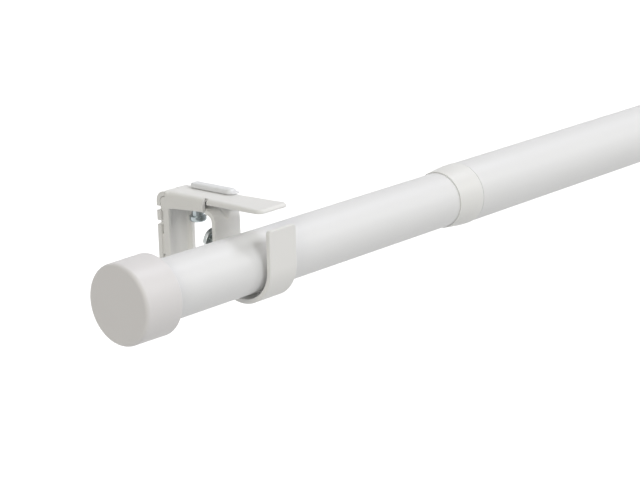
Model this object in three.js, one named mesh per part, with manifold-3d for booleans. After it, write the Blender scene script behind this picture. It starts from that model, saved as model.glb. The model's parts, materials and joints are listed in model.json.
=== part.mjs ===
// Telescopic curtain rod in two wall brackets.
// Millimetres: +X runs along the rod, +Y into the wall, +Z up.
// The origin is the middle of the left wall plate's back face, where it meets the wall.

import * as THREE from 'three';
import { ConvexGeometry } from 'three/addons/geometries/ConvexGeometry.js';
import { mergeVertices } from 'three/addons/utils/BufferGeometryUtils.js';
import Module from 'manifold-3d';

const wasm = await Module();
wasm.setup();

// Clearances
const clearance = 0.3;             // between pieces that touch
const slideFit = 0.1;              // round pieces that slide in each other

// Tubes
const thinTubeRadius = 12.5;
const thinTubeWall = 0.8;
const thinTubeLength = 1130;
const tubeGap = 0.8;               // round the thin tube, inside the thick one
const thickTubeWall = 0.7;
const thickTubeLength = 1151;
const thinTubeShown = 181.5;       // from the left cap's rim to the collar
const endOverhang = 76.7;          // from a bracket's middle to the end cap's face

// Collar where the thin tube enters the thick one
const collarLength = 15.5;
const collarNoseWall = 0.5;
const collarRim = 0.2;             // how far the collar stands above the thick tube
const collarSpigotLength = 14;
const collarNoseSteps = 6;         // facets along the swelling nose

// Plug on the thin tube's inner end, which glides in the thick tube
const plugFlangeLength = 6;
const plugSpigotLength = 14;
const plugSpigotWall = 1.4;

// End caps
const capLength = 17.5;
const capGap = 1;                  // round the thick tube, inside the cap
const capWall = 1.8;
const capFaceThickness = 2.5;
const capEdgeRadius = 1.7;
const capSpigotLength = 16;
const capSpigotWall = 1.4;
const capRibCount = 6;
const capRibThickness = 1.5;

// Bracket as a whole
const channelWidth = 15.4;
const strapWidth = 16;
const rodToWall = 48.5;            // wall to the rod's axis
const rodAboveMount = 5;           // the mount is the middle of the wall plate's back

// Wall plate
const wallPlateThickness = 2.1;
const wallPlateHeight = 50;
const wallHoleRadius = 2.3;
const wallHolePitch = 12;
const upperHoleDrop = 7;           // below the middle of the wall plate
const notchDepth = 2.2;
const notchHeight = 1.4;
const notchSlope = 0.5;
const upperNotchRise = 21;         // lower side of the upper notch
const notchBlockHeight = 4.4;      // what stays between the two notches
const tabHeight = 8.9;
const tabThickness = 1;
const tabReach = 1.7;              // how far a tab stands forward into the frame's slot
const tabInset = 0.8;

// Frame: a pressed channel, as a leg on the wall and an arm over the rod
const frameSheet = 1.7;
const frameBendRadius = 2.6;
const legDepth = 4.5;
const armLength = 25.1;
const armDepth = 7.4;              // at the leg
const armTipDepth = 5.9;
const lipGap = 0.5;
const lipDrop = 0.4;               // the lip's top below the arm's
const lipRun = 0.5;                // its straight end, past the bend
const lipWidth = 7.5;              // the lip covers only the near half of the plate's top
const slotLength = 9.5;
const slotRise = 1.5;              // lower end of the leg's side slot above the mount
const headHoleRadius = 4.6;        // lets a wall screw's head through the leg
const plateReach = 33.6;           // the plate in front of the arm
const plateRootDepth = 2.9;        // its rolled sides grow shallower towards the tip
const plateShoulder = 0.75;        // rounding of those sides, as a share of their depth
const reliefLength = 1.9;          // notch between the arm's flange and the plate
const plateRootHalfWidth = 7.1;
const plateTipHalfWidth = 8.7;
const plateCornerRadius = 3;

// Hook: a strap bent round the rod, with a tongue inside the arm
const strapThickness = 2;
const strapFrontRise = 16.7;       // top of the strap above the rod's axis
const strapCornerRadius = 1.6;
const hookClearance = 0.4;         // round the thick tube
const hookRise = 20;               // top of the tongue above the rod's axis
const hookBendRadius = 3;          // inside of the bend
const backLegHalfWidth = 7.6;
const tongueHalfWidth = 5.5;
const hookTravelIn = 1;
const hookTravelOut = 7;
const gussetHalfWidth = 3;
const gussetDrop = 4.5;
const tapCollarRadius = 4.2;
const tapCollarLength = 2.2;

// Clamp screw and its nut, which hold the tongue in the arm
const clampScrewRadius = 2;
const clampHeadRadius = 3.65;
const clampHeadHeight = 2.5;
const clampShoulderRadius = 2.6;
const clampShoulderLength = 3.2;
const clampScrewFromWall = 16.8;
const clampTipGap = 0.5;
const nutWidth = 7.6;
const nutHeight = 2.6;
const recessDepth = 1.2;
const recessWidth = 0.9;

// Tube screw, which keeps the tube from turning in the hook
const tubeScrewRadius = 2.5;
const tubeScrewRise = 4.6;         // above the rod's axis
const tubeScrewLength = 9;
const tubeHeadRadius = 6;
const tubeHeadThickness = 2.1;
const driveSlotWidth = 1.3;
const driveSlotDepth = 1;

// Clip along the far edge of the arm
const clipLength = 23.6;
const clipFromWall = 9.9;
const clipBarWidth = 5;
const clipBarHeight = 2;
const clipBarInset = 1.9;          // from the clip's outer wall to the bar
const clipSkirt = 0.7;             // width and thickness of the rim at the bar's foot
const clipWall = 1.2;
const clipLipReach = 1.4;

// Places that follow from the sizes above
const thinTubeBore = thinTubeRadius - thinTubeWall;
const thickTubeBore = thinTubeRadius + tubeGap;
const thickTubeRadius = thickTubeBore + thickTubeWall;
const capRadius = thickTubeRadius + capGap + capWall;
const hookInnerRadius = thickTubeRadius + hookClearance;
const hookOuterRadius = hookInnerRadius + strapThickness;
const halfWidth = channelWidth / 2;
const strapHalfWidth = strapWidth / 2;
const lipSide = -halfWidth + lipWidth;
const frameBack = -(wallPlateThickness + clearance);
const legFront = frameBack - legDepth;
const armFront = frameBack - armLength;
const tongueTop = rodAboveMount + hookRise;
const tongueBottom = tongueTop - strapThickness;
const armUnderside = tongueTop + clearance + nutHeight + clearance;
const armTop = armUnderside + frameSheet;
const plateFlatTop = wallPlateHeight / 2;
const legBottom = -wallPlateHeight / 2;
const lipTop = armTop - lipDrop;
const lipRadius = lipTop - plateFlatTop;
const lipUnderside = lipTop - wallPlateThickness;
const lipEnd = -lipRadius - lipRun;
const thinTubeStart = -endOverhang + capFaceThickness + clearance;
const collarStart = -endOverhang + capLength + thinTubeShown;
const thickTubeStart = collarStart + collarLength + clearance;
const thickTubeEnd = thickTubeStart + thickTubeLength;
const rightBracketX = thickTubeEnd + clearance + capFaceThickness - endOverhang;
const beyond = wallPlateHeight + rodToWall;   // how far cutting bodies reach past a piece

const roundSteps = 48;             // facets round the tubes and what fits them
const discSteps = 32;
const smallSteps = 20;

function paint(color, roughness, metalness = 0) {
  return new THREE.MeshStandardMaterial({ color, roughness, metalness });
}

// A closed geometry as a solid that can be joined and cut.
function solid(geometry) {
  const bare = geometry.clone();
  bare.deleteAttribute('normal');
  bare.deleteAttribute('uv');
  const merged = mergeVertices(bare, 1e-5);
  const triVerts = Uint32Array.from(merged.index.array);
  const vertProperties = Float32Array.from(merged.attributes.position.array);
  return new wasm.Manifold(new wasm.Mesh({ numProp: 3, vertProperties, triVerts }));
}

// A joined and cut solid back as a named mesh.
function piece(name, body, material) {
  const { vertProperties, triVerts } = body.getMesh();
  const geometry = new THREE.BufferGeometry();
  geometry.setAttribute('position', new THREE.Float32BufferAttribute(vertProperties, 3));
  geometry.setIndex(Array.from(triVerts));
  geometry.computeVertexNormals();
  const mesh = new THREE.Mesh(geometry, material);
  mesh.name = name;
  return mesh;
}

function outline(points) {
  return new THREE.Shape(points.map(([a, b]) => new THREE.Vector2(a, b)));
}

function extrude(shape, depth, curveSegments = 12) {
  return new THREE.ExtrudeGeometry(shape, { depth, curveSegments, bevelEnabled: false });
}

// A side view (y, z) carried along X, from x = from to x = to.
function alongX(shape, from, to, curveSegments) {
  const basis = new THREE.Matrix4().makeBasis(
    new THREE.Vector3(0, 1, 0), new THREE.Vector3(0, 0, 1), new THREE.Vector3(1, 0, 0));
  return solid(extrude(shape, to - from, curveSegments).applyMatrix4(basis).translate(from, 0, 0));
}

// A front view (x, z) carried along Y, from the wall side at y = from out to y = to.
function alongY(shape, from, to, curveSegments) {
  const basis = new THREE.Matrix4().makeBasis(
    new THREE.Vector3(1, 0, 0), new THREE.Vector3(0, 0, 1), new THREE.Vector3(0, -1, 0));
  return solid(extrude(shape, from - to, curveSegments).applyMatrix4(basis).translate(0, from, 0));
}

// A plan view (x, y) carried up from z = from to z = to.
function alongZ(shape, from, to, curveSegments) {
  return solid(extrude(shape, to - from, curveSegments).translate(0, 0, from));
}

// A rectangle whose chosen corners are rounded: [left bottom, right bottom, right top, left top].
function roundedRectangle(x0, y0, x1, y1, [r0, r1, r2, r3]) {
  const shape = new THREE.Shape();
  shape.moveTo(x0 + r0, y0);
  shape.lineTo(x1 - r1, y0);
  if (r1 > 0) shape.absarc(x1 - r1, y0 + r1, r1, -Math.PI / 2, 0, false);
  shape.lineTo(x1, y1 - r2);
  if (r2 > 0) shape.absarc(x1 - r2, y1 - r2, r2, 0, Math.PI / 2, false);
  shape.lineTo(x0 + r3, y1);
  if (r3 > 0) shape.absarc(x0 + r3, y1 - r3, r3, Math.PI / 2, Math.PI, false);
  shape.lineTo(x0, y0 + r0);
  if (r0 > 0) shape.absarc(x0 + r0, y0 + r0, r0, Math.PI, Math.PI * 1.5, false);
  return shape;
}

function circle(radius, a = 0, b = 0) {
  const shape = new THREE.Shape();
  shape.absarc(a, b, radius, 0, Math.PI * 2, false);
  return shape;
}

// A profile of [distance along X, radius] turned round the rod's axis.
function turned(profile, steps = roundSteps) {
  const points = profile.map(([x, radius]) => new THREE.Vector2(radius, x));
  const lathe = new THREE.LatheGeometry(points, steps);
  return solid(lathe.rotateZ(-Math.PI / 2));
}

// Quarter of a rounded edge, as profile points from angle a0 to a1 round (x, radius).
function arcPoints(x, radius, edge, a0, a1, count) {
  return Array.from({ length: count + 1 }, (_, i) => {
    const angle = a0 + (a1 - a0) * i / count;
    return [x + edge * Math.cos(angle), radius + edge * Math.sin(angle)];
  });
}

function makeTube(name, start, length, radius, bore, material) {
  const wall = [
    [start, bore], [start, radius], [start + length, radius], [start + length, bore], [start, bore]];
  return piece(name, turned(wall), material);
}

// The collar's nose swells from just over the thin tube to just over the thick one.
function makeCollar(material) {
  const bore = thinTubeRadius + slideFit;
  const nose = bore + collarNoseWall;
  const rim = thickTubeRadius + collarRim;
  const spigot = thickTubeBore - slideFit;
  const noseEnd = collarStart + collarLength;
  const swell = Array.from({ length: collarNoseSteps + 1 }, (_, i) => {
    const t = i / collarNoseSteps;
    return [collarStart + collarLength * 0.94 * t, nose + (rim - nose) * Math.sin(t * Math.PI / 2)];
  });
  const profile = [
    [collarStart, bore], ...swell, [noseEnd, rim], [noseEnd, spigot],
    [noseEnd + collarSpigotLength, spigot], [noseEnd + collarSpigotLength, bore], [collarStart, bore]];
  return piece('collar', turned(profile), material);
}

// A flanged plug in the thin tube's inner end: the flange glides in the thick tube.
function makeGlidePlug(material) {
  const end = thinTubeStart + thinTubeLength;
  const flange = thickTubeBore - slideFit;
  const spigot = thinTubeBore - slideFit;
  const bore = spigot - plugSpigotWall;
  const flangeStart = end + clearance;
  const profile = [
    [end - plugSpigotLength, bore], [end - plugSpigotLength, spigot], [flangeStart, spigot],
    [flangeStart, flange], [flangeStart + plugFlangeLength, flange],
    [flangeStart + plugFlangeLength, bore], [end - plugSpigotLength, bore]];
  return piece('glide_plug', turned(profile), material);
}

// A cup over the tube's end, with a hollow spigot inside the tube and ribs that centre it.
function makeCap(name, tubeRadius, tubeBore, material) {
  const cupBore = capRadius - capWall;
  const spigot = tubeBore - slideFit;
  const spigotEnd = capFaceThickness + capSpigotLength;
  const rimRound = capWall / 3;
  const profile = [
    [0, 0], [0, capRadius - capEdgeRadius],
    ...arcPoints(capEdgeRadius, capRadius - capEdgeRadius, capEdgeRadius, Math.PI, Math.PI / 2, 6).slice(1),
    [capLength - rimRound, capRadius], [capLength, capRadius - rimRound], [capLength, cupBore],
    [capFaceThickness, cupBore], [capFaceThickness, spigot], [spigotEnd, spigot],
    [spigotEnd, spigot - capSpigotWall], [capFaceThickness, spigot - capSpigotWall],
    [capFaceThickness, 0]];
  let body = turned(profile);
  const ribFoot = tubeRadius + slideFit;
  const ribTop = cupBore + capWall / 2;
  const rib = outline([
    [capFaceThickness - clearance, ribFoot], [capLength - capWall, ribFoot],
    [capLength - capWall - (cupBore - ribFoot), ribTop], [capFaceThickness - clearance, ribTop]]);
  for (let i = 0; i < capRibCount; i += 1) {
    const blade = extrude(rib, capRibThickness).translate(0, 0, -capRibThickness / 2);
    blade.rotateX(Math.PI * 2 * i / capRibCount);
    body = body.add(solid(blade));
  }
  return piece(name, body, material);
}

// The wall plate: a strip whose top end bends forward over the frame's corner as a lip.
function makeWallPlate(name, material) {
  const inner = lipRadius - wallPlateThickness;
  const side = new THREE.Shape();
  side.moveTo(-wallPlateThickness, legBottom);
  side.lineTo(0, legBottom);
  side.lineTo(0, plateFlatTop);
  side.absarc(-lipRadius, plateFlatTop, lipRadius, 0, Math.PI / 2, false);
  side.lineTo(lipEnd, lipTop);
  side.lineTo(lipEnd, lipUnderside);
  side.absarc(-lipRadius, plateFlatTop, inner, Math.PI / 2, 0, true);
  const lipHalf = alongX(side, -halfWidth, lipSide, 6);
  const strip = roundedRectangle(
    -halfWidth, legBottom, halfWidth, plateFlatTop, [0, 0, notchDepth, 0]);
  let body = alongY(strip, 0, -wallPlateThickness, 5).add(lipHalf);

  const lowerNotchTop = upperNotchRise - notchBlockHeight;
  for (const sign of [-1, 1]) {
    const inside = sign * (halfWidth - notchDepth);
    const outside = sign * (halfWidth + notchDepth);
    const upper = outline([
      [inside, upperNotchRise], [outside, upperNotchRise],
      [outside, upperNotchRise + notchHeight + 2 * notchSlope], [inside, upperNotchRise + notchHeight]]);
    const lower = outline([
      [inside, lowerNotchTop], [outside, lowerNotchTop],
      [outside, lowerNotchTop - notchHeight - 2 * notchSlope], [inside, lowerNotchTop - notchHeight]]);
    for (const notch of [upper, lower]) {
      body = body.subtract(alongY(notch, beyond, -wallPlateThickness - clearance));
    }
    const tabOuter = sign * (halfWidth - tabInset);
    const tabInner = sign * (halfWidth - tabInset - tabThickness);
    const tabFoot = slotRise + clearance;
    const tab = outline([
      [tabInner, tabFoot], [tabOuter, tabFoot],
      [tabOuter, tabFoot + tabHeight], [tabInner, tabFoot + tabHeight]]);
    body = body.add(alongY(tab, -wallPlateThickness / 2, -wallPlateThickness - tabReach));
  }
  for (let i = 0; i < 2; i += 1) {
    const hole = circle(wallHoleRadius, 0, -upperHoleDrop - i * wallHolePitch);
    body = body.subtract(alongY(hole, beyond, -beyond, smallSteps));
  }
  return piece(name, body, material);
}

// The plate in front of the arm is a shallow tray: its shoulders and sides are one hull, hollowed
// from below.
function makeTray() {
  const root = armFront + frameSheet;
  const tip = armFront - plateReach;
  const corner = plateCornerRadius;
  const depthAt = (y) => frameSheet + (plateRootDepth - frameSheet) * (y - tip) / (root - tip);
  const edge = [[plateRootHalfWidth, root, 0]];
  for (let i = 0; i <= 4; i += 1) {
    const turn = Math.PI / 2 * i / 4;
    edge.push([
      plateTipHalfWidth - corner + corner * Math.cos(turn),
      tip + corner - corner * Math.sin(turn), -turn]);
  }
  const points = [];
  for (const [x, y, turn] of edge) {
    const depth = depthAt(y);
    const shoulder = depth * plateShoulder;
    const profile = [[0, depth]];
    for (let i = 0; i <= 3; i += 1) {
      const roll = Math.PI / 2 * i / 3;
      profile.push([shoulder * (1 - Math.cos(roll)), shoulder * (1 - Math.sin(roll))]);
    }
    for (const [inset, drop] of profile) {
      const px = x - inset * Math.cos(turn);
      const py = y - inset * Math.sin(turn);
      points.push(new THREE.Vector3(px, py, armTop - drop), new THREE.Vector3(-px, py, armTop - drop));
    }
  }
  const rootInside = plateRootHalfWidth - frameSheet;
  const tipInside = plateTipHalfWidth - frameSheet;
  const hollow = outline([
    [-rootInside, root + clearance], [-tipInside, tip + corner],
    [tipInside, tip + corner], [rootInside, root + clearance]]);
  return solid(new ConvexGeometry(points)).subtract(alongZ(hollow, -beyond, armUnderside));
}

// The frame: leg and arm are one channel, stepped down under the wall plate's lip, and the arm's
// top runs on as a plate over the rod.
function makeFrame(name, material) {
  const stepBack = lipEnd - clearance;
  const stepTop = lipUnderside - lipGap;
  const cornerRadius = lipRadius - wallPlateThickness - clearance;
  const armFoot = [[armFront, armTop], [armFront, armTop - armTipDepth], [legFront, armTop - armDepth]];
  const stepped = new THREE.Shape();
  stepped.moveTo(legFront, legBottom);
  stepped.lineTo(frameBack, legBottom);
  stepped.absarc(frameBack - cornerRadius, stepTop - cornerRadius, cornerRadius, 0, Math.PI / 2, false);
  stepped.lineTo(stepBack, stepTop);
  stepped.lineTo(stepBack, armTop);
  const plain = new THREE.Shape();
  plain.moveTo(legFront, legBottom);
  plain.lineTo(frameBack, legBottom);
  plain.absarc(frameBack - cornerRadius, armTop - cornerRadius, cornerRadius, 0, Math.PI / 2, false);
  for (const shape of [stepped, plain]) armFoot.forEach(([y, z]) => shape.lineTo(y, z));

  const webFace = frameBack - frameSheet;
  const foot = legBottom - beyond;
  const steppedInside = outline([
    [-beyond, foot], [webFace, foot], [webFace, stepTop - frameSheet],
    [stepBack - frameSheet, stepTop - frameSheet], [stepBack - frameSheet, armUnderside],
    [-beyond, armUnderside]]);
  const plainInside = outline([
    [-beyond, foot], [webFace, foot], [webFace, armUnderside], [-beyond, armUnderside]]);

  const r = frameBendRadius;
  const innerR = r - frameSheet;
  const roundTop = roundedRectangle(-halfWidth, -beyond, halfWidth, armTop, [0, 0, r, r]);
  const roundBack = roundedRectangle(-halfWidth, -beyond, halfWidth, frameBack, [0, 0, r, r]);
  const innerHalf = halfWidth - frameSheet;
  const innerTop = roundedRectangle(
    -innerHalf, -beyond, innerHalf, armUnderside, [0, 0, innerR, innerR]);
  const outer = alongX(stepped, -halfWidth, lipSide, 4).add(alongX(plain, lipSide, halfWidth, 4));
  const inner = alongX(steppedInside, -innerHalf, lipSide).add(alongX(plainInside, lipSide, innerHalf))
    .intersect(alongY(innerTop, beyond, -beyond, 3));
  let body = outer
    .intersect(alongY(roundTop, beyond, -beyond, 5))
    .intersect(alongZ(roundBack, -beyond, beyond, 5))
    .subtract(inner);

  body = body.add(makeTray());
  const relief = outline([
    [innerHalf, armFront - reliefLength], [beyond, armFront - reliefLength],
    [beyond, armFront], [innerHalf, armFront]]);
  const reliefCut = alongZ(relief, -beyond, beyond);
  body = body.subtract(reliefCut).subtract(reliefCut.mirror([1, 0, 0]));

  const slot = outline([
    [frameBack - frameSheet, slotRise], [beyond, slotRise],
    [beyond, slotRise + slotLength], [frameBack - frameSheet, slotRise + slotLength]]);
  const slotDepth = tabInset + tabThickness + clearance;
  for (const sign of [-1, 1]) {
    const from = sign > 0 ? halfWidth - slotDepth : -beyond;
    const to = sign > 0 ? beyond : -halfWidth + slotDepth;
    body = body.subtract(alongX(slot, from, to));
  }
  for (let i = 0; i < 2; i += 1) {
    const hole = circle(headHoleRadius, 0, -upperHoleDrop - i * wallHolePitch);
    body = body.subtract(alongY(hole, beyond, -beyond, smallSteps));
  }
  return piece(name, body, material);
}

// The strap's side view round the rod's axis: front, round under the rod, up behind it, and
// back into the arm as a tongue.
function strapOutline(tongueEnd) {
  const bendY = hookOuterRadius + hookBendRadius;
  const bendZ = hookRise - strapThickness - hookBendRadius;
  const outerBend = hookBendRadius + strapThickness;
  const side = new THREE.Shape();
  side.moveTo(-hookOuterRadius, strapFrontRise);
  side.lineTo(-hookOuterRadius, 0);
  side.absarc(0, 0, hookOuterRadius, Math.PI, Math.PI * 2, false);
  side.lineTo(hookOuterRadius, bendZ);
  side.absarc(bendY, bendZ, hookBendRadius, Math.PI, Math.PI / 2, true);
  side.lineTo(tongueEnd, hookRise - strapThickness);
  side.lineTo(tongueEnd, hookRise);
  side.lineTo(bendY, hookRise);
  side.absarc(bendY, bendZ, outerBend, Math.PI / 2, Math.PI, false);
  side.lineTo(hookInnerRadius, 0);
  side.absarc(0, 0, hookInnerRadius, 0, -Math.PI, true);
  side.lineTo(-hookInnerRadius, strapFrontRise);
  return side;
}

// The gusset is a dart pressed into the strap's upper bend along a 45 degree chord: a dent in the
// outside, and the same V one strap thickness further in as a ridge.
function gusset() {
  const outerBend = hookBendRadius + strapThickness;
  const sink = outerBend - (2 * outerBend - gussetDrop) * Math.SQRT1_2;
  const ends = [[hookInnerRadius, hookRise - gussetDrop], [hookInnerRadius + gussetDrop, hookRise]];
  const prism = (valley, height) => {
    const half = gussetHalfWidth * height / sink;
    const points = [];
    for (const [y, z] of ends) {
      for (const [x, out] of [[0, valley], [-half, valley + height], [half, valley + height]]) {
        points.push(new THREE.Vector3(x, y - out * Math.SQRT1_2, z + out * Math.SQRT1_2));
      }
    }
    return solid(new ConvexGeometry(points));
  };
  return { dent: prism(0, sink * 2), ridge: prism(-strapThickness, strapThickness * 0.75) };
}

// The hook is drawn round the rod's axis and then moved to its place.
function makeHook(name, material) {
  const webFace = frameBack - frameSheet + rodToWall;
  const tongueEnd = webFace - hookTravelIn - clearance;
  const shoulderEnd = armFront + rodToWall - hookTravelIn - clearance;
  const front = roundedRectangle(
    -strapHalfWidth, -beyond, strapHalfWidth, strapFrontRise,
    [0, 0, strapCornerRadius, strapCornerRadius]);
  const strap = alongX(strapOutline(tongueEnd), -strapHalfWidth, strapHalfWidth, 18);
  const frontPart = strap.intersect(alongY(front, 0, -beyond, 5));
  const backPlan = outline([
    [strapHalfWidth, -clearance], [backLegHalfWidth, hookInnerRadius],
    [backLegHalfWidth, shoulderEnd], [tongueHalfWidth, shoulderEnd],
    [tongueHalfWidth, beyond], [-tongueHalfWidth, beyond], [-tongueHalfWidth, shoulderEnd],
    [-backLegHalfWidth, shoulderEnd], [-backLegHalfWidth, hookInnerRadius],
    [-strapHalfWidth, -clearance]]);
  const backPart = strap.intersect(alongZ(backPlan, -beyond, beyond));
  const tapCollar = circle(tapCollarRadius, 0, tubeScrewRise);
  const tapHole = circle(tubeScrewRadius + clearance, 0, tubeScrewRise);
  const collarFoot = hookInnerRadius + strapThickness / 2;

  const slotHalf = clampScrewRadius + clearance;
  const screwY = rodToWall - clampScrewFromWall;
  const slot = new THREE.Shape();
  slot.absarc(0, screwY - hookTravelIn, slotHalf, Math.PI, Math.PI * 2, false);
  slot.absarc(0, screwY + hookTravelOut, slotHalf, 0, Math.PI, false);

  const { dent, ridge } = gusset();
  const body = frontPart.add(backPart).subtract(dent).add(ridge)
    .add(alongY(tapCollar, hookOuterRadius + tapCollarLength, collarFoot, smallSteps))
    .subtract(alongY(tapHole, beyond, 0, smallSteps))
    .subtract(alongZ(slot, hookRise - 2 * strapThickness, beyond, 8));
  const hook = piece(name, body, material);
  hook.position.set(0, -rodToWall, rodAboveMount);
  return hook;
}

// A pan-headed shoulder screw, head down, drawn with the shoulder's top at the origin.
function makeClampScrew(name, material) {
  const shankLength = armUnderside - clampTipGap - (tongueBottom - clearance);
  const headTop = -clampShoulderLength;
  const headBottom = headTop - clampHeadHeight;
  const crown = clampHeadHeight / 2;
  const profile = [
    [0, headBottom], [clampHeadRadius * 0.7, headBottom], [clampHeadRadius, headBottom + crown],
    [clampHeadRadius, headTop], [clampShoulderRadius, headTop], [clampShoulderRadius, 0],
    [clampScrewRadius, 0], [clampScrewRadius, shankLength - clearance],
    [clampScrewRadius - clearance, shankLength], [0, shankLength]];
  const points = profile.map(([radius, z]) => new THREE.Vector2(radius, z));
  let body = solid(new THREE.LatheGeometry(points, smallSteps).rotateX(Math.PI / 2));
  const half = clampHeadRadius * 0.55;
  for (const [w, d] of [[half, recessWidth / 2], [recessWidth / 2, half]]) {
    const arm = outline([[-w, -d], [w, -d], [w, d], [-w, d]]);
    body = body.subtract(alongZ(arm, headBottom - clearance, headBottom + recessDepth));
  }
  const screw = piece(name, body, material);
  screw.position.set(0, -clampScrewFromWall, tongueBottom - clearance);
  return screw;
}

function makeClampNut(name, material) {
  const half = nutWidth / 2;
  const block = roundedRectangle(-half, -half, half, half, [0.8, 0.8, 0.8, 0.8]);
  const bottom = tongueTop + clearance;
  const body = alongZ(block, bottom, bottom + nutHeight, 3)
    .subtract(alongZ(circle(clampScrewRadius + clearance), 0, beyond, smallSteps));
  const nut = piece(name, body, material);
  nut.position.set(0, -clampScrewFromWall, 0);
  return nut;
}

// A disc-headed screw through the hook's back leg. Its tip stops at the tube it holds.
function makeTubeScrew(name, tubeRadius, material) {
  const nearest = tubeScrewRise - tubeScrewRadius;
  const tip = Math.sqrt(tubeRadius ** 2 - nearest ** 2) + clearance;
  const headFoot = tip + tubeScrewLength;
  const headEnd = headFoot + tubeHeadThickness;
  const edge = 0.4;
  const profile = [
    [0, tip], [tubeScrewRadius - edge, tip], [tubeScrewRadius, tip + edge],
    [tubeScrewRadius, headFoot], [tubeHeadRadius - edge, headFoot], [tubeHeadRadius, headFoot + edge],
    [tubeHeadRadius, headEnd - edge], [tubeHeadRadius - edge, headEnd], [0, headEnd]];
  const points = profile.map(([radius, y]) => new THREE.Vector2(radius, y));
  const half = driveSlotWidth / 2;
  const slot = outline([
    [-beyond, -half], [beyond, -half], [beyond, half], [-beyond, half]]);
  const body = solid(new THREE.LatheGeometry(points, discSteps))
    .subtract(alongY(slot, headEnd + clearance, headEnd - driveSlotDepth));
  const screw = piece(name, body, material);
  screw.position.set(0, -rodToWall, rodAboveMount + tubeScrewRise);
  return screw;
}

// A clip over the arm's far flange: a round-ended bar on top, a wall outside and a lip below.
function makeEdgeClip(name, material) {
  const back = -clipFromWall;
  const front = back - clipLength;
  const foot = armTop + clearance;
  const top = foot + clipBarHeight;
  const outer = halfWidth + clearance + clipWall;
  const barRight = outer - clipBarInset;
  const barLeft = barRight - clipBarWidth;
  const end = clipBarWidth * 0.49;
  const bar = roundedRectangle(barLeft, front, barRight, back, [end, end, end, end]);
  const crown = clipBarHeight * 0.6;
  const section = roundedRectangle(barLeft, armUnderside, barRight, top, [0, 0, crown, crown]);
  const side = roundedRectangle(front, armUnderside, back, top, [0, 0, crown, crown]);
  const barBody = alongZ(bar, foot, top, 6)
    .intersect(alongY(section, beyond, -beyond, 5))
    .intersect(alongX(side, 0, beyond, 5));
  const wallFront = armFront + clearance;
  const wallBack = back + clipSkirt;
  const rim = roundedRectangle(
    barLeft + clipSkirt, front - clipSkirt, barRight + clipSkirt, wallBack, [end, end, 0, end]);
  const shelf = roundedRectangle(barRight, wallFront, outer, wallBack, [0, 0, 0, 0]);
  const rimBody = alongZ(rim, foot, foot + clipSkirt, 6)
    .add(alongZ(shelf, foot, foot + clipSkirt));

  const slope = (armDepth - armTipDepth) / (legFront - armFront);
  const flangeFoot = (y) => armTop - armDepth + (legFront - y) * slope - clearance;
  const wallSide = outline([
    [wallBack, foot + clipSkirt], [wallFront, foot + clipSkirt],
    [wallFront, flangeFoot(wallFront) - clipWall], [wallBack, flangeFoot(wallBack) - clipWall]]);
  const lipView = outline([
    [wallBack, flangeFoot(wallBack)], [wallFront, flangeFoot(wallFront)],
    [wallFront, flangeFoot(wallFront) - clipWall], [wallBack, flangeFoot(wallBack) - clipWall]]);
  const body = barBody.add(rimBody)
    .add(alongX(wallSide, halfWidth + clearance, outer))
    .add(alongX(lipView, halfWidth - clipLipReach, outer));
  return piece(name, body, material);
}

const coatedSteel = paint(0xe9e8e6, 0.45);
const whitePlastic = paint(0xe2dfda, 0.4);
const clipPlastic = paint(0xe3e3e4, 0.35);
const zincSteel = paint(0xb4bac2, 0.35, 0.9);

function makeBracket(side, x, tubeRadius) {
  const bracket = new THREE.Group();
  bracket.add(
    makeWallPlate(`${side}_wall_plate`, coatedSteel),
    makeFrame(`${side}_frame`, coatedSteel),
    makeHook(`${side}_hook`, coatedSteel),
    makeClampScrew(`${side}_clamp_screw`, zincSteel),
    makeClampNut(`${side}_clamp_nut`, zincSteel),
    makeTubeScrew(`${side}_tube_screw`, tubeRadius, zincSteel),
    makeEdgeClip(`${side}_edge_clip`, clipPlastic));
  bracket.position.x = x;
  return bracket;
}

// The rod's pieces are turned round X and placed on the axis that the hooks hold.
function makeRod() {
  const rod = new THREE.Group();
  const leftCap = makeCap('left_cap', thinTubeRadius, thinTubeBore, whitePlastic);
  leftCap.position.x = -endOverhang;
  const rightCap = makeCap('right_cap', thickTubeRadius, thickTubeBore, whitePlastic);
  rightCap.position.x = rightBracketX + endOverhang;
  rightCap.rotation.z = Math.PI;
  rod.add(
    makeTube('thin_tube', thinTubeStart, thinTubeLength, thinTubeRadius, thinTubeBore, coatedSteel),
    makeTube('thick_tube', thickTubeStart, thickTubeLength, thickTubeRadius, thickTubeBore, coatedSteel),
    makeCollar(whitePlastic), makeGlidePlug(whitePlastic), leftCap, rightCap);
  rod.position.set(0, -rodToWall, rodAboveMount);
  return rod;
}

const curtainRod = new THREE.Group();
curtainRod.add(
  makeBracket('left', 0, thinTubeRadius),
  makeBracket('right', rightBracketX, thickTubeRadius),
  makeRod());

export default curtainRod;
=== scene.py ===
import json
import math

import bmesh
import bpy
import numpy as np
from mathutils import Matrix, Vector


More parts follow.
